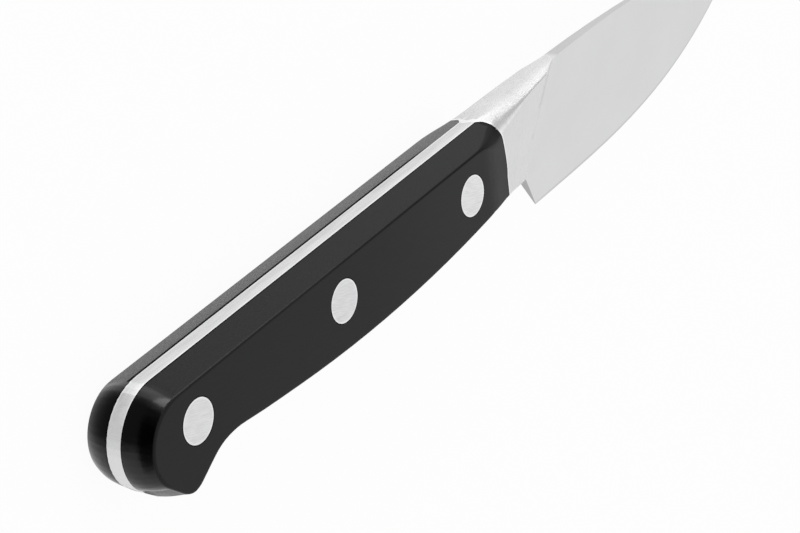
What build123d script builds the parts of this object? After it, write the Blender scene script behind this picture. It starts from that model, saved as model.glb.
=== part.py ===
from build123d import *
from math import atan2, cos, degrees, radians, sin, sqrt, tan
import os

# Forged paring knife: one piece of steel from tip to butt, two scales and three rivets.
# The knife lies on its left side. X runs to the tip, Y to the back of the blade, Z up.
# X = 0 and Y = 0 are the axis of the middle rivet, and Z = 0 is the flat of the left scale.
# Lengths are in millimetres and angles in degrees.

# Handle
handle_thickness = 12.2
tang_thickness = 2.5
side_draft = 17.2
crease_radius = 0.5
butt_x = -49.35
butt_radius = 8.75
butt_top_y = 7.5
back_slope = 0.33
beak_radius = 4.3
beak_drop = 1.3
butt_to_neck = 19.95
neck_y = -7.1
neck_radius = 13.5
belly_x = 9.5
belly_y = -9.8

# Scale fronts and bolster, with places along X measured from the fronts of the scales
scale_front_x = 51.3
scale_corner_length = 3.0
scale_corner_height = 9.5
front_to_side_flat = 8.8
front_to_shoulder = 1.2
front_to_foot_top = 25.7
front_to_heel = 15.0
shoulder_half_thickness = 4.5
bolster_taper = 5.4
bolster_rise = 0.44
bolster_bottom_y = -7.5
choil_radius = 5.0
foot_lean = 35.0
scoop_radius = 9.0
scoop_depth = 0.015

# Blade
spine_radius = 430.0
heel_y = -15.9
heel_lean = 28.9
blade_length = 84.5
heel_to_edge_rise = 3.7
tip_y = 2.1
edge_power = 3.13
blank_height_over_spine = 3.0
blank_thickness = 2.52
blank_tip_thickness = 0.4
taper_power = 1.6
edge_bevel_height = 0.55
edge_bevel_thickness = 0.18
station_spacing = 9.0

# Rivets, each a sleeve from the right side and a pin from the left
butt_to_rear_rivet = 11.85
front_to_front_rivet = 13.3
rivet_head_diameter = 7.0
rivet_head_thickness = 2.6
rivet_shank_diameter = 4.8
rivet_pin_diameter = 3.0
rivet_fit = 0.02
rivet_end_gap = 0.3
rivet_bore_wall = 1.6
rivet_pin_chamfer = 0.4

# Length by which cutting shapes run past what they cut
overrun = 1.0

# Places along X
neck_x = butt_x + butt_to_neck
side_flat_end_x = scale_front_x - front_to_side_flat
shoulder_x = scale_front_x + front_to_shoulder
foot_top_x = scale_front_x + front_to_foot_top
heel_x = scale_front_x + front_to_heel
edge_rise_start_x = heel_x + heel_to_edge_rise
tip_x = heel_x + blade_length
rivet_xs = (butt_x + butt_to_rear_rivet, 0, scale_front_x - front_to_front_rivet)

# Planes and sizes worked out from those above
half_thickness = handle_thickness / 2
half_tang = tang_thickness / 2
scale_thickness = half_thickness - half_tang
middle = Plane.XY.offset(half_thickness)
tang_top = Plane.XY.offset(half_thickness + half_tang)
handle_top = Plane.XY.offset(handle_thickness)
reach = handle_thickness * 2


def polar(centre, radius, angle):
    return (centre[0] + radius * cos(radians(angle)), centre[1] + radius * sin(radians(angle)))


# Butt, beak, neck and belly are arcs that run into one another. First their centres
butt_centre_y = butt_top_y - butt_radius
butt_centre = (butt_x + butt_radius, butt_centre_y)
beak_bottom_y = butt_centre_y - butt_radius - beak_drop
neck_centre = (neck_x, neck_y - neck_radius)
beak_centre_y = beak_bottom_y + beak_radius
beak_neck_rise = beak_centre_y - neck_centre[1]
beak_neck_run = sqrt((neck_radius + beak_radius) ** 2 - beak_neck_rise**2)
beak_centre = (neck_x - beak_neck_run, beak_centre_y)
belly_run = belly_x - neck_x
belly_rise = belly_y - neck_centre[1]
belly_radius = (belly_run**2 + belly_rise**2 - neck_radius**2) / (2 * (neck_y - belly_y))
belly_centre = (belly_x, belly_y + belly_radius)

# Angles at which the arcs meet, and the straight line that touches both butt and beak
butt_beak = Vector(*beak_centre) - Vector(*butt_centre)
butt_beak_share = (butt_radius - beak_radius) / butt_beak.length
butt_end_angle = degrees(atan2(butt_beak.Y, butt_beak.X)) - degrees(
    atan2(sqrt(1 - butt_beak_share**2), butt_beak_share)
)
beak_neck_angle = degrees(atan2(-beak_neck_rise, beak_neck_run))
neck_belly_angle = degrees(atan2(belly_centre[1] - neck_centre[1], belly_run))

# Back of the handle, and the place where the scales end on it
butt_top = polar(butt_centre, butt_radius, 90 + back_slope)
scale_top_x = scale_front_x - scale_corner_length
scale_top_y = butt_top[1] + (scale_top_x - butt_top[0]) * tan(radians(back_slope))
scale_corner_y = scale_top_y - scale_corner_height
spine_y = scale_top_y + bolster_rise

# The bolster runs out on the blade along the foot line, and the heel line cuts off both
foot_run = tan(radians(foot_lean))
heel_run = tan(radians(heel_lean))
choil_corner_x = heel_x - (bolster_bottom_y - heel_y) * heel_run
choil_length = choil_radius * tan(radians(90 - heel_lean) / 2)
choil_start = (choil_corner_x - choil_length, bolster_bottom_y)
choil_end = (
    choil_corner_x + choil_length * sin(radians(heel_lean)),
    bolster_bottom_y - choil_length * cos(radians(heel_lean)),
)
foot_top = (foot_top_x, spine_y)
foot_to_choil = choil_corner_x - foot_top_x + bolster_bottom_y * heel_run + spine_y * foot_run
foot_bottom_y = foot_to_choil / (foot_run + heel_run)
foot_bottom = (foot_top_x - (spine_y - foot_bottom_y) * foot_run, foot_bottom_y)
heel = (heel_x, heel_y)

# The drafted form is made longer than the bolster and then cut off at the foot line
form_end_x = foot_top_x + half_thickness
form_end_y = scale_top_y + bolster_rise * (form_end_x - scale_top_x) / (foot_top_x - scale_top_x)

# Side view of handle and bolster
butt_end = polar(butt_centre, butt_radius, butt_end_angle)
beak_start = polar(beak_centre, beak_radius, butt_end_angle)
beak_end = polar(beak_centre, beak_radius, beak_neck_angle)
belly_start = polar(neck_centre, neck_radius, neck_belly_angle)
belly_end = (belly_x + sqrt(belly_radius**2 - (belly_centre[1] - bolster_bottom_y) ** 2), bolster_bottom_y)
with BuildSketch() as handle_outline:
    with BuildLine():
        ThreePointArc(butt_top, (butt_x, butt_centre_y), butt_end)
        Line(butt_end, beak_start)
        ThreePointArc(beak_start, (beak_centre[0], beak_bottom_y), beak_end)
        ThreePointArc(beak_end, (neck_x, neck_y), belly_start)
        ThreePointArc(belly_start, (belly_x, belly_y), belly_end)
        Line(belly_end, choil_start)
        TangentArc(choil_start, choil_end, tangent=(1, 0))
        Line(choil_end, heel)
        Line(heel, (form_end_x, form_end_y))
        Line((form_end_x, form_end_y), (scale_top_x, scale_top_y))
        Line((scale_top_x, scale_top_y), butt_top)
    make_face()

# Solid form of handle and bolster, before it is parted into steel and scales
side_end = (side_flat_end_x, handle_thickness)
shoulder = (shoulder_x, half_thickness + shoulder_half_thickness)
bolster_slope = tan(radians(bolster_taper))
form_end_half = shoulder_half_thickness - (form_end_x - shoulder_x) * bolster_slope
with BuildPart() as handle_form:
    with BuildSketch(middle):
        add(handle_outline.sketch)
    extrude(amount=half_tang, both=True)
    with BuildSketch(tang_top):
        add(handle_outline.sketch)
    extrude(amount=scale_thickness, taper=side_draft)
    mirror(about=middle)
    # View from above: the sides are flat along the scales and draw in over the bolster
    with BuildSketch(Plane.XZ.offset(-reach)):
        with BuildLine():
            Polyline((butt_x, half_thickness), (butt_x, handle_thickness), side_end)
            Spline(side_end, shoulder, tangents=((1, 0), (1, -bolster_slope)))
            Polyline(
                shoulder,
                (form_end_x, half_thickness + form_end_half),
                (form_end_x, half_thickness),
                (butt_x, half_thickness),
            )
        make_face()
        mirror(about=Plane.XZ.offset(-half_thickness))
    extrude(amount=reach * 2, mode=Mode.INTERSECT)
    # The creases are the outer edges of the side faces, which lean less than 45 degrees
    side_faces = faces().filter_by(lambda face: abs(face.normal_at().Z) > cos(radians(45)))
    side_edges = [edge for face in side_faces for edge in face.edges()]
    creases = [edge for edge in side_edges if side_edges.count(edge) == 1]
    fillet(creases, radius=crease_radius)
    with BuildSketch(middle):
        with BuildLine():
            Polyline(
                (butt_x, spine_y + overrun),
                (butt_x, heel_y),
                (foot_top_x - (spine_y - heel_y) * foot_run, heel_y),
                (foot_top_x + overrun * foot_run, spine_y + overrun),
                close=True,
            )
        make_face()
    extrude(amount=reach, both=True, mode=Mode.INTERSECT)


# The blade at a place along X: height of its edge and of its spine
def edge_y(x):
    run_share = max(x - edge_rise_start_x, 0) / (tip_x - edge_rise_start_x)
    return heel_y + (tip_y - heel_y) * run_share**edge_power


def back_y(x):
    return spine_y - (x - foot_top_x) ** 2 / (2 * spine_radius)


# The blank is a wedge from the edge bevel to a level above the spine, and thins out to the tip
def blank_half(x):
    run_share = min(max(tip_x - x, 0) / (tip_x - foot_top_x), 1)
    return (blank_tip_thickness + (blank_thickness - blank_tip_thickness) * run_share**taper_power) / 2


def face_half(x, y):
    bevel_top_y = edge_y(x) + edge_bevel_height
    height_share = (y - bevel_top_y) / (back_y(x) + blank_height_over_spine - bevel_top_y)
    return edge_bevel_thickness / 2 + (blank_half(x) - edge_bevel_thickness / 2) * height_share


# Blade: cross sections along X make the blank, and the side view cuts it to its spine and heel
station_start_x = foot_bottom[0] - overrun
station_length = tip_x + overrun - station_start_x
station_count = round(station_length / station_spacing)
floor_y = heel_y - overrun
spine_end_x = tip_x + overrun * 2
spine_middle = ((foot_top_x + spine_end_x) / 2, back_y((foot_top_x + spine_end_x) / 2))
spine_end = (spine_end_x, back_y(spine_end_x))
with BuildPart() as blade_form:
    for number in range(station_count + 1):
        x = station_start_x + station_length * number / station_count
        low = edge_y(x)
        high = back_y(x) + blank_height_over_spine
        with BuildSketch(Plane(origin=(x, 0, half_thickness), x_dir=(0, 1, 0), z_dir=(1, 0, 0))):
            with BuildLine():
                Polyline(
                    (low, 0),
                    (low + edge_bevel_height, -edge_bevel_thickness / 2),
                    (high, -blank_half(x)),
                    (high, blank_half(x)),
                    (low + edge_bevel_height, edge_bevel_thickness / 2),
                    close=True,
                )
            make_face()
    loft()
    with BuildSketch():
        with BuildLine():
            ThreePointArc(foot_top, spine_middle, spine_end)
            Polyline(
                spine_end,
                (spine_end_x, floor_y),
                (heel_x + (heel_y - floor_y) * heel_run, floor_y),
                foot_bottom,
                foot_top,
            )
        make_face()
    extrude(amount=reach, both=True, mode=Mode.INTERSECT)

# Side view of the space that the scales take up, with the rounded top front corner
scale_left_x = butt_x - overrun
scale_floor_y = beak_bottom_y - overrun
scale_ceiling_y = spine_y + overrun
with BuildSketch() as scale_space:
    with BuildLine():
        corner_centre = (scale_top_x, scale_corner_y)
        EllipticalCenterArc(corner_centre, scale_corner_length, scale_corner_height, arc_size=90)
        Polyline(
            (scale_top_x, scale_top_y),
            (scale_top_x, scale_ceiling_y),
            (scale_left_x, scale_ceiling_y),
            (scale_left_x, scale_floor_y),
            (scale_front_x, scale_floor_y),
            (scale_front_x, scale_corner_y),
        )
    make_face()

# One forging: blade, bolster and tang, with a ground scoop on each side where the bolster runs out
scoop_lift = scoop_radius - scoop_depth
with BuildPart() as blade:
    add(handle_form.part)
    for plane in (Plane.XY, tang_top):
        with BuildSketch(plane):
            add(scale_space.sketch)
        extrude(amount=scale_thickness, mode=Mode.SUBTRACT)
    add(blade_form.part)
    for side in (1, -1):
        scoop_low = Vector(*foot_bottom, half_thickness + side * (face_half(*foot_bottom) + scoop_lift))
        scoop_high = Vector(*foot_top, half_thickness + side * (face_half(*foot_top) + scoop_lift))
        with BuildSketch(Plane(origin=scoop_low, z_dir=scoop_high - scoop_low)):
            Circle(scoop_radius)
        extrude(amount=reach * 2, both=True, mode=Mode.SUBTRACT)
    with Locations([middle.location * Location((x, 0, 0)) for x in rivet_xs]):
        Hole(rivet_shank_diameter / 2 + rivet_fit)
blade.part.label = "blade"

# Right scale, with a stepped hole for each rivet
with BuildPart() as right_scale:
    add(handle_form.part)
    with BuildSketch(tang_top):
        add(scale_space.sketch)
    extrude(amount=scale_thickness, mode=Mode.INTERSECT)
    with Locations([handle_top.location * Location((x, 0, 0)) for x in rivet_xs]):
        CounterBoreHole(
            radius=rivet_shank_diameter / 2 + rivet_fit,
            counter_bore_radius=rivet_head_diameter / 2 + rivet_fit,
            counter_bore_depth=rivet_head_thickness,
            depth=scale_thickness,
        )
right_scale.part.label = "right_scale"

# Left scale, its mirror image
with BuildPart() as left_scale:
    add(right_scale.part)
    mirror(about=middle, mode=Mode.REPLACE)
left_scale.part.label = "left_scale"

os.makedirs("parts", exist_ok=True)
for piece in (blade, right_scale, left_scale):
    export_step(piece.part, f"parts/{piece.part.label}.step")

# Rivets: the pin is pressed into the bore of the sleeve, and both heads are ground flush
sleeve_end = rivet_head_thickness + rivet_end_gap
sleeve_head_z = handle_thickness - rivet_head_thickness
bore_top = handle_thickness - rivet_bore_wall
for place, rivet_x in zip(("rear", "middle", "front"), rivet_xs):
    with BuildPart() as sleeve:
        with BuildSketch(Plane((rivet_x, 0, sleeve_head_z))):
            Circle(rivet_head_diameter / 2)
        extrude(amount=rivet_head_thickness)
        with BuildSketch(Plane((rivet_x, 0, sleeve_end))):
            Circle(rivet_shank_diameter / 2)
        extrude(amount=sleeve_head_z - sleeve_end)
        with BuildSketch(Plane((rivet_x, 0, sleeve_end))):
            Circle(rivet_pin_diameter / 2 + rivet_fit)
        extrude(amount=bore_top - sleeve_end, mode=Mode.SUBTRACT)
    sleeve.part.label = f"{place}_rivet_sleeve"
    export_step(sleeve.part, f"parts/{sleeve.part.label}.step")

    with BuildPart() as pin:
        with BuildSketch(Plane((rivet_x, 0, 0))):
            Circle(rivet_head_diameter / 2)
        extrude(amount=rivet_head_thickness)
        with BuildSketch(Plane((rivet_x, 0, rivet_head_thickness))):
            Circle(rivet_pin_diameter / 2)
        extrude(amount=bore_top - rivet_end_gap - rivet_head_thickness)
        chamfer(pin.edges().sort_by(Axis.Z)[-1], length=rivet_pin_chamfer)
    pin.part.label = f"{place}_rivet_pin"
    export_step(pin.part, f"parts/{pin.part.label}.step")
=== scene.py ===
# %% [markdown]
# # A forged paring knife
#
# The knife has nine pieces: one forging that is blade, bolster and tang in one, two scales of
# black plastic, and three rivets of two halves each. They come in as solids, in metres, with the
# knife lying on its left side, and they have the shapes that machines leave. This lesson adds
# what comes after the machines: the work of the hand, the finish of each surface, and the light
# that shows them.

# %% Load the pieces
import bmesh
import bpy
from math import atan2, copysign, cos, radians, sin, tan, tau
from mathutils import Matrix, Vector


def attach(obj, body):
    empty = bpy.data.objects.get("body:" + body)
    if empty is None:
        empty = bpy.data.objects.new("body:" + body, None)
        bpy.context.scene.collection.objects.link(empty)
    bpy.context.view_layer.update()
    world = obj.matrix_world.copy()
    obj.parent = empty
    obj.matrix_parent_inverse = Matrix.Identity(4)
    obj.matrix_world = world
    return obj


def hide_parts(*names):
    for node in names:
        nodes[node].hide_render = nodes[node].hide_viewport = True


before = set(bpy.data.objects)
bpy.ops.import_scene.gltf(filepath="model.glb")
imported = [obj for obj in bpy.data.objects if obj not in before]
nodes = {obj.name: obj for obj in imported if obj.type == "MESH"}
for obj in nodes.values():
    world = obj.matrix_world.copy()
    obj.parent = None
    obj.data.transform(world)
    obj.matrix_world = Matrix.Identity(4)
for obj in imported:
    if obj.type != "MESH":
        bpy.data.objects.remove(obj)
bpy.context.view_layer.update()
print(len(nodes), "pieces:", ", ".join(sorted(nodes)))

# %% [markdown]
# ## Places on the knife
#
# A finish changes from place to place: the bolster is rubbed by hand, the blade is ground by
# machine, the butt is polished. Each place is found from the coordinates of the surface, so
# the few lengths below are needed again and again. They are in millimetres, because a
# knife's details are easier to think about that way. A place is written as (X, Y).

# %% Lengths in millimetres
MM = 0.001
handle_middle_z = 6.1
tang_half = 1.25

# The front end of a scale is straight below the corner and a quarter of an ellipse above it.
scale_front = 51.3
scale_corner = (48.3, -1.5)
scale_corner_radii = (3.0, 9.5)

# The foot of the bolster leans forward and the back of the heel leans backward, by their run
# for each millimetre of height.
foot_top = (77.0, 8.45)
foot_run = 0.7
heel = (66.3, -15.9)
heel_run = 0.552

# The cutting edge rises to the tip as a power of the way along it.
edge_start = (70.0, -15.9)
tip = (150.8, 2.1)
edge_power = 3.13

polish_border_x = -42.0
rivet_places = {"rear": -37.5, "middle": 0.0, "front": 38.0}
rivet_radius = 3.5
print("the scales end at X =", scale_front, "mm")
print("the rivets are at X =", list(rivet_places.values()), "mm")

# %% [markdown]
# ## What the hand adds to the machine
#
# The solids have the shapes that grinding machines leave: plane bevels that meet in crisp
# creases. A hand then goes over the handle with a file and a soft wheel. It eases the creases
# where the handle narrows to the bolster, blends the back of the bolster, files the front ends of
# the scales to their line, crowns the butt like a barrel and leaves the neck behind the rear
# rivet a little full. Nobody grinds the heel where the scoop runs out on it, so it stays thick.
#
# Sculpting would do this too, but a rule for each point can be read and repeated: the rule
# knows only where a point is, and so steel and plastic stay flush. Lengths here are in
# millimetres, and off is the distance from the middle of the handle's thickness.

# %% The handle's outline as the machine leaves it
draft = radians(17.2)
machine_crease = 0.5
half_thickness = 6.1
side_flat_end = 42.5
shoulder = 52.5
shoulder_half = 4.5
bolster_fall = 0.0945
back_start = (-40.6, 7.5)
back_rise = 0.00576
bolster_back_rise = 0.0153
arc_start = radians(45)
butt_centre = Vector((-40.6, -1.25))
butt_radius = 8.75
butt_end = radians(227.8)
beak_centre = Vector((-40.884, -7.0))
beak_radius = 4.3
beak_end = radians(310.2)


def ramp(value, start, end):
    """0 before start, 1 after end, and smooth between them."""
    share = min(max((value - start) / (end - start), 0.0), 1.0)
    return share * share * (3 - 2 * share)


def side_off(x):
    """How far off the middle the side of the handle or bolster is."""
    run = shoulder - side_flat_end
    share = min(max((x - side_flat_end) / run, 0.0), 1.0)
    drawn = (3 - 2 * share) * share**2 * (half_thickness - shoulder_half)
    drawn += (share**3 - share**2) * bolster_fall * run
    return half_thickness - drawn - max(x - shoulder, 0.0) * bolster_fall


def back_y(x):
    """Height of the back, between the edges of the tang."""
    along_handle = min(x, scale_corner[0]) - back_start[0]
    along_bolster = max(x - scale_corner[0], 0.0)
    return back_start[1] + along_handle * back_rise + along_bolster * bolster_back_rise


foot_off = side_off(foot_top[0])
print("the side draws in from", half_thickness, "mm to", round(foot_off, 2), "mm at the foot")

# %% [markdown]
# ## One rule for each job of the hand
#
# Easing a crease is rolling a ball along it: each point that stands out of the ball's arc is
# brought onto it. The other rules push points by a depth that swells and fades from place to
# place, as the pressure of a hand does. The depths below, and the pairs of places between which
# each one swells or fades, were found by comparing the outline with the photo of the knife.


# %% The rules of the hand work
def turn(one, other):
    """More than 0 if the other direction lies anticlockwise of the one."""
    return one.x * other.y - one.y * other.x


def ease(point, corner, low_face, high_face, radius):
    """Brings a point that stands out of a corner of two faces onto an arc that touches both."""
    centre = corner - (low_face + high_face) * (radius / (1 + low_face.dot(high_face)))
    out = point - centre
    between = turn(low_face, out) > 0 and turn(out, high_face) > 0
    return centre + out.normalized() * radius if between and out.length > radius else point


bevel_facing = Vector((cos(draft), sin(draft)))
side_facing = Vector((0.0, 1.0))
back_facing = Vector((1.0, 0.0))
right_ease, left_ease = 2.9, 0.8
ease_grows, ease_fades = (40.5, 49.5), (51.0, 65.0)
back_blend = 6.0
blend_grows, blend_fades = (scale_front, 56.0), (66.0, 76.0)
least_blend = 0.05


def ease_back(x, y, off, on_right):
    """The crease of the back where the handle narrows, and the back of the bolster."""
    most = right_ease if on_right else left_ease
    radius = machine_crease + most * (ramp(x, *ease_grows) - ramp(x, *ease_fades))
    crease_off = side_off(x)
    crease = Vector((back_y(x) - (crease_off - tang_half) * tan(draft), crease_off))
    point = ease(Vector((y, off)), crease, bevel_facing, side_facing, radius)
    radius = back_blend * (ramp(x, *blend_grows) - ramp(x, *blend_fades))
    if radius > least_blend:
        tang_edge = Vector((back_y(x), tang_half))
        point = ease(point, tang_edge, back_facing, bevel_facing, radius)
    return point


front_grows, front_fades = (43.5, 48.5), (50.5, 55.0)


def round_front(x, y, off, on_right):
    """The front ends of the scales are filed by hand too, and the steel fills the gap."""
    near_front = ramp(x, *front_grows) * (1 - ramp(x, *front_fades))
    if on_right:
        beside_tang = 0.43 * ramp(off, tang_half, 2.1)
        at_side = 0.18 * ramp(off, 3.4, 4.8)
        low_at_side = 0.30 * ramp(off, 3.4, 4.6) * ramp(-y, 1.0, 3.5)
        forward = beside_tang - at_side - low_at_side
    else:
        beside_tang = 0.7 * (1 - ramp(off, tang_half, 2.6))
        everywhere_else = 0.1
        forward = -beside_tang - everywhere_else
    return x + forward * near_front


neck_facing = (0.6, -0.8)


def fill_neck(x, y):
    """The beak runs into the belly a little fuller than the machine's arc."""
    on_beak = 0.25 * ramp(x, -42.6, -40.6) + 0.34 * ramp(x, -40.4, -37.6)
    used_up = 0.35 * ramp(x, -37.2, -32.6) + 0.24 * ramp(x, -28.0, -14.0)
    fuller = (on_beak - used_up) * ramp(-y, 4.3, 5.2)
    return x + neck_facing[0] * fuller, y + neck_facing[1] * fuller


heel_extra = 0.62
heel_thickens_over = 7.0
heel_fades_up, heel_fades_along, heel_fades_back = (-9.5, -6.5), (0.0, 9.0), (0.5, 3.0)
middle_line = 0.02


def thicken_heel(x, y, off):
    """The forging stays thick where the scoop runs out on the heel."""
    above_heel = y - heel[1]
    past_heel = x - heel[0] + above_heel * heel_run
    share = min(max(above_heel / heel_thickens_over, 0.0), 1.0) * (1 - ramp(y, *heel_fades_up))
    share *= (1 - ramp(past_heel, *heel_fades_along)) * (1 - ramp(-past_heel, *heel_fades_back))
    return off + heel_extra * share if off > middle_line else off


crown_most, rub_most = 0.42, 0.42
crown_grows, crown_fades = (radians(91), radians(112)), (radians(208), radians(242))
rub_grows, rub_fades = (radians(215), radians(250)), (radians(285), beak_end)
crown_reach = (0.4, 1.6)


def crown_butt(x, y, off):
    """The bevel of the butt becomes a barrel, and the beak is rubbed away a little at the tang."""
    point = Vector((x, y))
    centre, radius = butt_centre, butt_radius
    outwards = (point - centre).normalized()
    angle = atan2(y - centre.y, x - centre.x) % tau
    if not arc_start <= angle <= butt_end:
        centre, radius = beak_centre, beak_radius
        angle = atan2(y - centre.y, x - centre.x) % tau
        if not arc_start <= angle <= beak_end:
            return point
        angle_out = max(angle, butt_end)
        outwards = Vector((cos(angle_out), sin(angle_out)))
    off_tang = max(off - tang_half, 0.0)
    depth = radius - off_tang * tan(draft) - (point - centre).dot(outwards)
    near = 1 - ramp(abs(depth), *crown_reach)
    share = off_tang / (half_thickness - tang_half)
    barrel = 4 * share * (1 - share)
    crown = crown_most * ramp(angle, *crown_grows) * (1 - ramp(angle, *crown_fades)) * barrel
    rubbed = rub_most * ramp(angle, *rub_grows) * (1 - ramp(angle, *rub_fades)) * (1 - share)
    return point + outwards * (near * (crown - rubbed))


narrowing_start, narrowing_end = 40.4, 77.2
front_low, back_low = -7.6, 2.0
neck_end, butt_start = -14.0, -36.0
heel_area_start, heel_area_top = 55.0, -3.0


def worked(place, is_forging):
    """Where the hand leaves a point that the machine left at this place."""
    x, y, z = place
    off = abs(z - handle_middle_z)
    on_right = z > handle_middle_z
    if narrowing_start < x < foot_top[0] and y > front_low:
        new_y, new_off = ease_back(x, y, off, on_right) if y > back_low else (y, off)
        x, y, off = round_front(x, y, off, on_right), new_y, new_off
    elif x < neck_end:
        if x < butt_start:
            x, y = crown_butt(x, y, off)
        x, y = fill_neck(x, y)
    if is_forging and y < heel_area_top and x > heel_area_start:
        off = thicken_heel(x, y, off)
    return Vector((x, y, handle_middle_z + copysign(off, z - handle_middle_z)))


eased = {"right": machine_crease + right_ease, "left": machine_crease + left_ease}
print("largest radius of the eased creases, in mm:", eased)

# %% [markdown]
# ## Cut first, then bend
#
# A solid's mesh has points only along its edges, so a bend would have nothing to move. Plane
# cuts add rows of points where a rule works, without any change of shape. The cut copy is then
# bent, and it stands in for the solid. It keeps each point's machined place as an attribute, so
# that a finish stays where it is on the knife although the surface moved under it.

# %% Which faces are cut
along, up, across = Vector((1, 0, 0)), Vector((0, 1, 0)), Vector((0, 0, 1))
narrowing_low = 3.4
heel_side_start, heel_side_end, heel_side_top = 56, 77, -2
rim_end = -37.9
rivet_clearance = 6.0
top_faces, side_faces, rim_faces = 0.3, 0.8, 0.9


def everywhere(middle, facing):
    return True


def on_front(middle, facing):
    return narrowing_start < middle.x < narrowing_end


def on_narrowing(middle, facing):
    return on_front(middle, facing) and middle.y > narrowing_low


def on_narrowing_top(middle, facing):
    return on_narrowing(middle, facing) and facing.y > top_faces


def on_narrowing_side(middle, facing):
    return on_narrowing(middle, facing) and abs(facing.z) > side_faces


def on_heel_side(middle, facing):
    beside_heel = heel_side_start < middle.x < heel_side_end and middle.y < heel_side_top
    return beside_heel and abs(facing.z) > side_faces


def on_butt_rim(middle, facing):
    from_rivet = (middle.x - rivet_places["rear"]) ** 2 + middle.y**2
    clear = middle.x < rim_end and from_rivet > rivet_clearance**2
    return clear and abs(facing.z) < rim_faces


def rows(start, gap, count):
    """Places at equal gaps, one for each cut."""
    return [start + gap * step for step in range(count)]


straight_cuts = [
    (everywhere, along, (rim_end, -37.0, 39.8, narrowing_start, 46.0, narrowing_end, 77.8)),
    (on_front, up, (-5.0, -3.0, -1.5, 0.0, 1.5, narrowing_low)),
    (on_narrowing, along, rows(narrowing_start, 0.6, 61)[1:]),
    (on_narrowing_side, up, rows(3.9, 0.25, 15)),
]
for side in (1, -1):
    crease_rows = [handle_middle_z + side * off for off in rows(0.35, 0.25, 23)]
    rim_rows = [handle_middle_z + side * off for off in rows(tang_half, 0.44, 11)]
    straight_cuts += [(on_narrowing_top, across, crease_rows), (on_butt_rim, across, rim_rows)]
straight_cuts += [
    (on_heel_side, along, rows(58.0, 1.2, 16)),
    (on_heel_side, up, rows(heel[1], 1.0, 14)),
]
fans = [(butt_centre, rows(92, 5, 28)), (beak_centre, rows(230, 6, 14))]
print(sum(len(places) for chosen, facing, places in straight_cuts), "straight cuts and two fans")


# %% Cut, bend and stand in for the solids
weld_distance = 1e-6
cut_tolerance = 1e-7
smooth_up_to = radians(14)
flat_from = 0.99999


def cut(form, chosen, place, facing):
    """Cuts the chosen faces with a plane, which adds points but changes no shape."""
    faces = [face for face in form.faces if chosen(face.calc_center_median() / MM, face.normal)]
    parts = set(faces)
    for face in faces:
        parts.update(face.edges)
        parts.update(face.verts)
    plane = {"plane_co": place * MM, "plane_no": facing}
    bmesh.ops.bisect_plane(form, geom=list(parts), dist=cut_tolerance, **plane)


def hand_finish(name):
    """Makes the hand-finished copy of a solid, which is shown in place of the solid."""
    form = bmesh.new()
    form.from_mesh(nodes[name].data)
    bmesh.ops.remove_doubles(form, verts=form.verts, dist=weld_distance)
    machined = form.verts.layers.float_vector.new("machined")
    for chosen, facing, places in straight_cuts:
        for place in places:
            cut(form, chosen, facing * place, facing)
    for centre, degrees in fans:
        for angle in map(radians, degrees):
            cut(form, on_butt_rim, centre.to_3d(), Vector((-sin(angle), cos(angle), 0)))
    for vert in form.verts:
        vert[machined] = vert.co
        vert.co = worked(vert.co / MM, name == "blade") * MM
    bmesh.ops.triangulate(form, faces=form.faces)
    mesh = bpy.data.meshes.new(name + "_finished")
    form.to_mesh(mesh)
    form.free()

    # Curved faces are shaded smooth, and the flat sides stay flat right up to their creases.
    mesh.shade_smooth()
    mesh.set_sharp_from_angle(angle=smooth_up_to)
    for face in mesh.polygons:
        face.use_smooth = abs(face.normal.z) < flat_from
    piece = bpy.data.objects.new(name + "_finished", mesh)
    bpy.context.scene.collection.objects.link(piece)
    shading = piece.modifiers.new("flat_faces_stay_flat", "WEIGHTED_NORMAL")
    shading.keep_sharp = True
    shading.weight = 100
    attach(piece, "root")
    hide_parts(name)
    print(name, "has", len(mesh.polygons), "faces")
    return piece


blade = hand_finish("blade")
right_scale = hand_finish("right_scale")
left_scale = hand_finish("left_scale")

# %% [markdown]
# ## Writing shader sums as Python
#
# A material is a graph of nodes, and a mask such as "within half a millimetre of the rivet" takes
# five or six of them. Wiring each by hand hides what is meant. The class below wraps the output
# of a node, so that a sum of such outputs is written as a sum and adds its own Math nodes. Its
# method `node` makes every other kind of node: settings first, because some of them change
# which sockets a node has, then the values or wires of its sockets.


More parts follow.
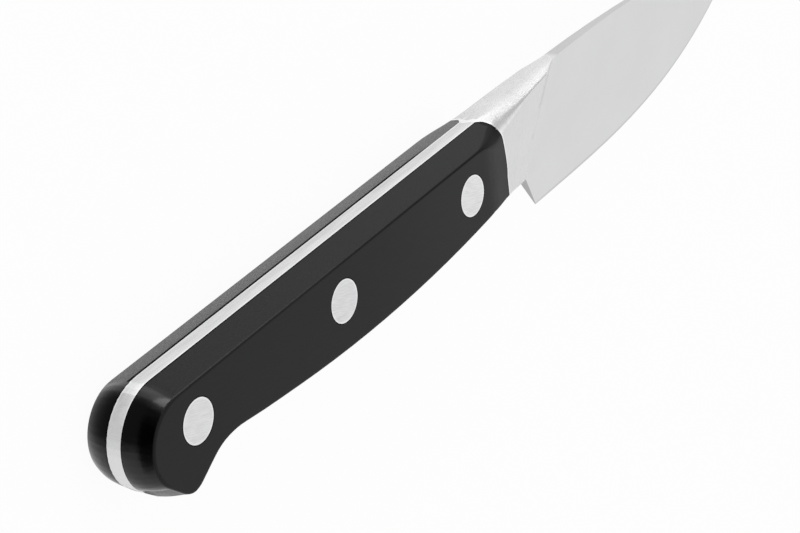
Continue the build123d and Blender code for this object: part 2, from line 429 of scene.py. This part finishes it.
# %% A wire that can be added, multiplied and compared
class Wire:
    """One output of a node, or a place to make the first nodes of a tree."""

    def __init__(self, tree, socket=None):
        self.tree = tree
        self.socket = socket

    def node(self, kind, settings=None, values=None, output=0):
        made = self.tree.nodes.new(kind)
        for name, setting in (settings or {}).items():
            setattr(made, name, setting)
        for name, value in (values or {}).items():
            if isinstance(value, Wire):
                self.tree.links.new(value.socket, made.inputs[name])
            else:
                made.inputs[name].default_value = value
        return Wire(self.tree, made.outputs[output] if made.outputs else None)

    def math(self, operation, *values):
        return self.node("ShaderNodeMath", {"operation": operation}, dict(enumerate(values)))

    def __add__(self, other):
        return self.math("ADD", self, other)

    def __sub__(self, other):
        return self.math("SUBTRACT", self, other)

    def __rsub__(self, other):
        return self.math("SUBTRACT", other, self)

    def __mul__(self, other):
        return self.math("MULTIPLY", self, other)

    def __truediv__(self, other):
        return self.math("DIVIDE", self, other)

    def __pow__(self, other):
        return self.math("POWER", self, other)

    def __abs__(self):
        return self.math("ABSOLUTE", self)

    __radd__ = __add__
    __rmul__ = __mul__

    def at_least(self, other):
        return self.math("MAXIMUM", self, other)

    def at_most(self, other):
        return self.math("MINIMUM", self, other)

    def step(self, low, high):
        """0 below low, 1 above high, soft between them. It falls if high is the lower one."""
        settings = {"interpolation_type": "SMOOTHSTEP"}
        values = {"Value": self, "From Min": low, "From Max": high}
        return self.node("ShaderNodeMapRange", settings, values)

    def band(self, rise_start, rise_end, fall_start, fall_end):
        """1 from rise_end to fall_start, with a soft rise before it and a soft fall after it."""
        return self.step(rise_start, rise_end) * self.step(fall_end, fall_start)

    def blend(self, one, other):
        """A number that is one where this mask is 0 and other where it is 1."""
        return one + self * (other - one)


print("a wire can", ", ".join(name for name in vars(Wire) if not name.startswith("__")))

# %% [markdown]
# ## The surface a shader sees
#
# Every finish starts from the same facts about the point that is shaded: where it is on the knife
# and which way it faces. A hand-finished piece gives the place that the machine left the point
# at, and a rivet gives its object coordinates, which are the same thing there. Both belong to the
# piece, so a mask stays on its place when the knife is moved. `Surface` collects these facts and
# ends the material with one metal or plastic shader.


# %% A material with its coordinates at hand
class Surface:
    """A new material, with the place and the facing of the shaded point as wires."""

    def __init__(self, name, hand_finished=True):
        self.material = bpy.data.materials.new(name)
        self.material.use_nodes = True
        tree = self.material.node_tree
        tree.nodes.clear()
        self.new = Wire(tree)
        if hand_finished:
            machined = {"attribute_name": "machined"}
            self.position = self.new.node("ShaderNodeAttribute", machined, output="Vector")
        else:
            self.position = self.new.node("ShaderNodeTexCoord", output="Object")
        self.x, self.y, self.z = (part * 1000 for part in self.parts(self.position))
        facing = self.new.node("ShaderNodeNewGeometry", output="Normal")
        self.facing_x, self.facing_y, self.facing_z = self.parts(facing)

    def parts(self, vector):
        """The X, Y and Z of a vector, each as a wire."""
        return [
            self.new.node("ShaderNodeSeparateXYZ", values={"Vector": vector}, output=axis)
            for axis in "XYZ"
        ]

    def from_rivet(self, rivet_x):
        """Distance from the axis of a rivet, in millimetres."""
        return ((self.x - rivet_x) ** 2.0 + self.y**2.0) ** 0.5

    def strokes(self, angle, length, width, detail=3.0):
        """Noise drawn out into strokes, length by width in millimetres, turned from X towards Y."""
        turned = self.new.node(
            "ShaderNodeMapping",
            {"vector_type": "TEXTURE"},
            {
                "Vector": self.position,
                "Rotation": (0, 0, radians(angle)),
                "Scale": (length * MM, width * MM, width * MM),
            },
        )
        values = {"Vector": turned, "Scale": 1.0, "Detail": detail, "Roughness": 0.6}
        return self.new.node("ShaderNodeTexNoise", values=values) - 0.5

    def grey(self, level):
        """A wire of one number as a colour. Steel and plastic are a trace cooler than grey."""
        values = {"Red": level, "Green": level, "Blue": level * 1.008}
        return self.new.node("ShaderNodeCombineColor", values=values)

    def finish(self, level, roughness, height, others):
        """The shader of the piece. Height is in millimetres and becomes a bump."""
        relief = {"Strength": 1.0, "Distance": MM, "Height": height}
        bump = self.new.node("ShaderNodeBump", values=relief, output="Normal")
        values = {"Base Color": self.grey(level), "Roughness": roughness, "Normal": bump}
        shader = self.new.node("ShaderNodeBsdfPrincipled", values={**values, **others})
        self.new.node("ShaderNodeOutputMaterial", values={"Surface": shader})
        print(self.material.name, "has", len(self.material.node_tree.nodes), "shader nodes")
        return self.material


# %% The front end of the scales
def scale_gap(surface):
    """How far behind the front end of the scales a point is, in millimetres. Below 0 is steel."""
    forward = (surface.x - scale_corner[0]).at_least(0.0) / scale_corner_radii[0]
    upward = (surface.y - scale_corner[1]).at_least(0.0) / scale_corner_radii[1]
    behind_corner = (scale_corner[0] - surface.x).at_least(0.0)
    return (1 - (forward**2.0 + upward**2.0) ** 0.5) * scale_corner_radii[0] + behind_corner


print("the front end of the scales is a quarter of an ellipse,", scale_corner_radii, "mm")

# %% [markdown]
# ## The steel
#
# Knife steel is ground on belts and then brushed, so it is a metal whose mirror image is spread
# out. Three finishes meet on the forging. The faces of the blade are ground very evenly and show
# hardly a line. The bolster is rubbed by hand, which leaves short strokes across the knife
# that catch the light. The edge of the tang is ground flush with the scales along the handle, and
# that crowns it a little. One material with masks suits this better than three, because the real
# finishes run into each other without a seam.
#
# The masks come first. Each says where one thing is on the forging, with 1 on it and 0 off it.

# %% Where each thing is on the forging
steel = Surface("satin_steel")
sideways = abs(steel.facing_z)
off_middle = abs(steel.z - handle_middle_z)
past_foot = steel.x - (foot_top[0] - (foot_top[1] - steel.y) * foot_run)

on_blade = past_foot.step(-1.5, 0.5)
on_tang = (steel.x - scale_front).step(1.0, -3.0)
on_back = steel.facing_y.step(0.5, 0.8)
on_right = steel.z.step(handle_middle_z, handle_middle_z + 2.0)
on_heel = (steel.facing_x * -1).step(0.5, 0.7) * steel.x.step(56.0, 58.0)
on_tang_edge = on_tang * on_back
on_bevel = (1 - on_blade) * (1 - on_tang) * on_back
on_ridge = sideways.band(0.55, 0.70, 0.93, 0.985)
on_streak = sideways.band(0.30, 0.42, 0.50, 0.66) * (1 - on_tang)
on_scoop_edge = past_foot.band(-3.6, -2.9, -2.7, -2.0) * sideways.step(0.8, 0.9)

# Painted highlight on thin rims next to the scales, along the tang and round their front ends.
edge_rim = off_middle.band(tang_half - 0.35, tang_half - 0.1, tang_half + 0.1, tang_half + 0.2)
front_rim = scale_gap(steel).band(-0.30, -0.15, 0.0, 0.1)
on_highlight_rim = (edge_rim * on_tang_edge).at_least(front_rim)

along_edge = ((steel.x - edge_start[0]) / (tip[0] - edge_start[0])).at_least(0.0)
edge_y = edge_start[1] + (tip[1] - edge_start[1]) * along_edge**edge_power
on_honing = (steel.y - edge_y).step(0.60, 0.35) * on_blade
print("the masks took", len(steel.material.node_tree.nodes), "nodes")

# %% [markdown]
# ## Strokes and brightness
#
# Each finish has its own grinding marks, which are noise drawn out along the belt's way, and two
# coarser noises add clouds and waves. They are then added up with all that makes the steel
# lighter or darker. The honed strip along the cutting edge and the spine are darker than the
# ground faces. The rest is painted light and shade. Painted shade darkens the heel's back face, a
# strip of the bolster's side just behind the scoop, the tang's edge at the upper rear of the butt
# and the right bevel next to the scale, and a painted shadow runs along the ridges. Painted
# highlights lie along the rounded tops of the ridges, where the tang's edge turns to the butt, and
# on thin rims next to the scales. Painted light makes the right bevel of the bolster and the right
# half of the tang's edge lighter than the left.

# %% Steel of the forging
rubbed = steel.strokes(74, 1.4, 0.14)
ground = steel.strokes(0, 5.0, 0.09)
even = steel.strokes(90, 7.0, 0.16, detail=2.0)
cloudy = steel.strokes(20, 14.0, 9.0, detail=2.0)
wavy = steel.strokes(4, 9.0, 0.8, detail=1.0)
stroke = on_blade.blend(on_tang.blend(rubbed, ground), even * 0.12)
bolster_rubbing = 0.16 + on_bevel * 1.1 + on_ridge * 0.9
rubbing = on_blade.blend(on_tang.blend(bolster_rubbing, 0.24), 0.22)

across_tang = ((steel.z - handle_middle_z) / tang_half).at_most(1.0).at_least(-1.0)
# The painted highlight on the rims is brighter towards the front.
rim_highlight = steel.x.step(25.0, 46.0).blend(0.16, 0.26)
turning_back = steel.facing_x.step(-0.10, -0.25) * on_tang
brightness = {
    "plain steel": 0.745,
    "clouds": cloudy * (0.05 + on_bevel * 0.25),
    "strokes": stroke * rubbing,
    "painted highlight on the rims beside the plastic": on_highlight_rim * rim_highlight,
    # Painted light: the tang's edge is lighter towards its right side and darker towards its left.
    "painted light across the tang's edge, lighter on the right": across_tang * on_tang_edge * 0.05,
    "waves along the edge": wavy * on_tang_edge * 0.22,
    # Painted highlight at the tang's turn to the butt; painted shade where it faces back and up.
    "painted highlight at the turn from back to butt": turning_back * steel.facing_x.step(-0.45, -0.25) * 0.32,
    "painted shade over the top of the butt": turning_back * steel.facing_y.step(0.0, 0.5) * -0.15,
    # The bolster's two bevels are a little lighter; painted light makes the right one lighter
    # still.
    "bevels of the bolster, the right one with painted light": on_bevel * 0.02 + on_bevel * on_right * 0.05,
    # Painted shade darkens the right bevel next to the scale.
    "painted shade on the right bevel by the scale": on_bevel * on_right * steel.x.step(58.0, 53.0) * -0.03,
    # Painted highlight along the rounded tops of the ridges, with a painted shadow next to it.
    "painted highlight on the rounded ridges": on_ridge * 0.18,
    "shadow along the ridges": on_streak * -0.17,
    # Painted shade on a strip of the bolster's side just behind the scoop.
    "painted shade at the edge of the scoop": on_scoop_edge * -0.15,
    # Painted shade: the heel's back face is darker than the steel around it.
    "painted shade on the back of the heel": on_heel * -0.31,
    "spine of the blade": on_blade * on_back * -0.14,
    "honed edge": on_honing * -0.12,
}
tang_roughness, bolster_roughness, blade_roughness = 0.27, 0.30, 0.34
roughness = on_blade.blend(on_tang.blend(bolster_roughness, tang_roughness), blade_roughness)
crown_height = across_tang * across_tang * on_tang_edge * -0.10
height = crown_height + stroke * on_blade.blend(0.020, 0.002)
level = sum(brightness.values())
steel_material = steel.finish(level, roughness + stroke * 0.15, height, {"Metallic": 1.0})
blade.data.materials.append(steel_material)

# %% [markdown]
# ## The scales
#
# The scales are black acetal. Their flat sides and long bevels are ground with the steel and stay
# dull, while the butt is polished on a soft wheel and shines. Dust and the belt leave fine
# scratches along the handle. Where plastic meets steel there is a hairline of shadow, which is
# what makes the joint read as a joint.
#
# A black surface still mirrors the room at a flat angle, however black its colour is. Where the
# plastic has to look dark, the shader is mixed towards a black metal, whose mirror image is as dark
# as its colour: in a joint, and as painted shade on the creases and on the polished butt where it
# faces back and up, and where it faces down. Painted light makes the flat side lighter towards the
# front and the left bevel lighter, and a painted highlight lies just behind the border of the
# polish.

# %% Where each thing is on the scales
plastic = Surface("black_acetal")
sideways = abs(plastic.facing_z)
off_tang = abs(plastic.z - handle_middle_z) - tang_half

on_butt = (plastic.x - polish_border_x).step(0.35, -0.35)
on_bevel = sideways.step(0.8, 0.5)
on_left = plastic.z.step(handle_middle_z, handle_middle_z - 0.5)
on_left_bevel = on_bevel * plastic.z.step(handle_middle_z, handle_middle_z - 2.0) * (1 - on_butt)
polished = on_butt * on_bevel
# Painted shade along the creases between sides and bevels, weaker towards the rear and on the butt.
crease_shade_strength = plastic.x.step(-12.0, 44.0).blend(0.10, 1.0) * (1 - on_butt * 0.9)
on_shaded_crease = sideways.band(0.36, 0.50, 0.93, 0.985) * crease_shade_strength
in_shade = plastic.facing_x.step(-0.20, -0.50) * plastic.facing_y.step(0.05, 0.45)
facing_down = plastic.facing_y.step(-0.1, -0.6)

left_joint = off_tang.step(0.95, 0.45) * on_left * on_bevel * (1 - on_butt)
left_joint = left_joint * plastic.x.step(44.0, 28.0)
in_joint = left_joint.at_least(scale_gap(plastic).step(0.30, 0.05))
in_joint = in_joint.at_least(off_tang.step(0.30, 0.10))
for rivet_x in rivet_places.values():
    rivet_gap = plastic.from_rivet(rivet_x) - rivet_radius
    in_joint = in_joint.at_least(rivet_gap.step(0.28, 0.08))
print("the masks took", len(plastic.material.node_tree.nodes), "nodes")

# %% Plastic of the scales
scratch = plastic.strokes(-12, 3.5, 0.12)
grain = plastic.strokes(0, 0.35, 0.35)

# Painted light makes the flat side lighter towards the front of the handle.
side_level = plastic.x.step(4.0, 38.0).blend(0.0048, 0.0112)
ground_level = on_bevel.blend(side_level, 0.009) + grain * 0.004 + scratch * on_bevel * 0.020
# The polished butt is nearly black; a painted highlight fades out behind the border of the polish.
level = polished.blend(ground_level, 0.003) + polished * plastic.x.step(-44.8, -42.2) * 0.030
# Painted light makes the left bevel lighter, most towards its outer edge, and its scratches
# brighter.
level = level + on_left_bevel * (0.018 + scratch * 0.16 + off_tang.step(0.5, 4.0) * 0.03)
# The joints are darkened, and painted shade darkens the creases.
level = level * (1 - in_joint * 0.85) * (1 - on_shaded_crease * 0.5)

ground_roughness = 0.52 + scratch * 0.10 - on_bevel * 0.28 + on_shaded_crease * 0.12
roughness = polished.blend(ground_roughness, 0.20).at_least(left_joint)
height = (scratch * on_bevel + grain) * (1 - on_butt) * 0.006 + on_left_bevel * scratch * 0.05
# Painted shade: the polished butt turns to black metal where it faces back and up, half where it
# faces down.
black = polished * (in_shade * 0.85).at_least(facing_down * 0.5)
others = {
    # Black metal marks the joints and paints shade on the creases and the butt.
    "Metallic": black.at_least(on_shaded_crease * 0.45).at_least(in_joint * 0.85),
    "Specular IOR Level": 0.22,
    "Coat Roughness": 0.2,
    "Coat Weight": polished * (1 - in_shade) * 0.3,
}
plastic_material = plastic.finish(level, roughness, height, others)
for scale in (right_scale, left_scale):
    scale.data.materials.append(plastic_material)

# %% [markdown]
# ## The rivets
#
# The rivet heads are ground down together with the scales, so their strokes run one way, a little
# off the line of the handle. The belt rounds the rim of each head slightly, and the light that the
# rim catches is a painted highlight, a thin bright ring.

# %% Steel of the rivets
rivet = Surface("brushed_rivet_steel", hand_finished=False)
# A painted highlight: a thin bright ring round the rim of each head.
on_highlight_ring = 0.0
for rivet_x in rivet_places.values():
    out = rivet.from_rivet(rivet_x) - rivet_radius
    on_highlight_ring = out.band(-0.35, -0.1, 1.0, 2.0) + on_highlight_ring
brushed = rivet.strokes(-19, 2.2, 0.13)
blotch = rivet.strokes(-19, 3.0, 1.2, detail=2.0)
front_head = rivet.x.step(20.0, 30.0)
level = 0.75 + brushed * 0.36 + blotch * 0.16 + on_highlight_ring * 0.14 + front_head * 0.05
rivet_material = rivet.finish(level, 0.32 + brushed * 0.12, brushed * 0.016, {"Metallic": 1.0})
for name, piece in nodes.items():
    if "rivet" in name:
        piece.data.materials.clear()
        piece.data.materials.append(rivet_material)

# %% [markdown]
# ## The floor
#
# The knife lies on a pale floor that is lit by the same light as the knife. To the camera,
# and in the reflections of the steel, the floor is white. Light Path tells which kind of ray
# asks, and the rest of the mix is a plain dull surface, so the knife still shades it.

# %% A white floor that keeps the shadow
floor_half = 1.5
floor_drop = 0.05 * MM
floor_mesh = bpy.data.meshes.new("floor")
signs = ((-1, -1), (1, -1), (1, 1), (-1, 1))
corners = [(x * floor_half, y * floor_half, -floor_drop) for x, y in signs]
floor_mesh.from_pydata(corners, [], [(0, 1, 2, 3)])
floor = bpy.data.objects.new("floor", floor_mesh)
bpy.context.scene.collection.objects.link(floor)

floor_material = bpy.data.materials.new("pale_floor")
floor_material.use_nodes = True
floor_material.node_tree.nodes.clear()
new = Wire(floor_material.node_tree)
seen = new.node("ShaderNodeLightPath", output="Is Camera Ray")
mirrored = new.node("ShaderNodeLightPath", output="Is Glossy Ray")
through = new.node("ShaderNodeLightPath", output="Is Transmission Ray")
dull = new.node("ShaderNodeBsdfDiffuse", values={"Color": (0.93, 0.93, 0.93, 1)})
white = new.node("ShaderNodeEmission", values={"Color": (1, 1, 1, 1), "Strength": 1.0})
share = seen * 0.95 + (mirrored + through) * 0.80
mix = new.node("ShaderNodeMixShader", values={0: share, 1: dull, 2: white})
new.node("ShaderNodeOutputMaterial", values={"Surface": mix})
floor_mesh.materials.append(floor_material)
print("floor:", floor_half * 2, "m square")

# %% [markdown]
# ## The light
#
# A shiny thing shows its surroundings, so lighting a knife means giving it surroundings.
# The world is an even pale grey, white where the camera sees it, and a wide soft box behind the
# back of the knife brightens the bevels that face it. Two parts of the room are darker. One is
# the side behind the camera, which the polished butt mirrors. The other is a gap ahead of the
# tip, which the rounded creases mirror, and so they read as dark lines.

# %% World
world = bpy.data.worlds.new("studio")
bpy.context.scene.world = world
world.use_nodes = True
world.node_tree.nodes.clear()
new = Wire(world.node_tree)
towards = new.node("ShaderNodeTexCoord", output="Generated")


def facing_part(direction, start, end):
    """1 for the part of the room in this direction, 0 away from it, soft from start to end."""
    values = {0: towards, 1: direction}
    settings = {"operation": "DOT_PRODUCT"}
    return new.node("ShaderNodeVectorMath", settings, values, output="Value").step(start, end)


behind_camera = facing_part((-0.95, 0.15, 0.10), 0.35, 0.85)
gap_ahead = facing_part((0.716, 0.527, 0.458), 0.82, 0.97)
seen = new.node("ShaderNodeLightPath", output="Is Camera Ray")
strength = seen.blend(0.90 - behind_camera * 0.84 - gap_ahead * 0.45, 1.0)
room = new.node("ShaderNodeBackground", values={"Color": (1, 1, 1, 1), "Strength": strength})
new.node("ShaderNodeOutputWorld", values={"Surface": room})
print("world: pale room with a dark side and a dim gap")


# %% Soft box
def soft_box(name, place, size, power):
    """An area lamp that faces the knife."""
    lamp = bpy.data.lights.new(name, "AREA")
    lamp.shape = "RECTANGLE"
    lamp.size, lamp.size_y = size
    lamp.energy = power
    box = bpy.data.objects.new(name, lamp)
    box.location = place
    box.rotation_euler = (-Vector(place)).to_track_quat("-Z", "Y").to_euler()
    bpy.context.scene.collection.objects.link(box)
    print(name, "at", place, "m,", power, "W")


soft_box("back_soft_box", (0.35, 0.93, 0.20), (0.9, 0.40), 3.2)

# %% [markdown]
# ## The camera
#
# The photo was taken with a long lens from behind the butt, above the back of the knife, and
# turned so that the knife runs from lower left to upper right. The camera stands
# 0.38 m from the middle rivet. Its three axes are the ones found from the photo's perspective.

# %% Camera
camera_place = Vector((-0.26496, 0.17443, 0.21674))
camera_right = Vector((0.5344, -0.1209, 0.8366))
camera_up = Vector((0.4422, 0.8835, -0.1548))
camera_back = camera_right.cross(camera_up).normalized()
lens = bpy.data.cameras.new("camera")
lens.sensor_width = 36.0
lens.lens = 111.5
lens.clip_start = 0.01
camera = bpy.data.objects.new("camera", lens)
axes = Matrix((camera_right.normalized(), camera_up.normalized(), camera_back)).transposed()
camera.matrix_world = Matrix.Translation(camera_place) @ axes.to_4x4()
bpy.context.scene.collection.objects.link(camera)
bpy.context.scene.camera = camera
bpy.context.scene.view_settings.view_transform = "Standard"
print("camera", round(camera_place.length, 3), "m from the middle rivet")

# %% [markdown]
# ## Close
#
# The dressed knife must be as large as its solids.

# %% Close
print("the scene is built")
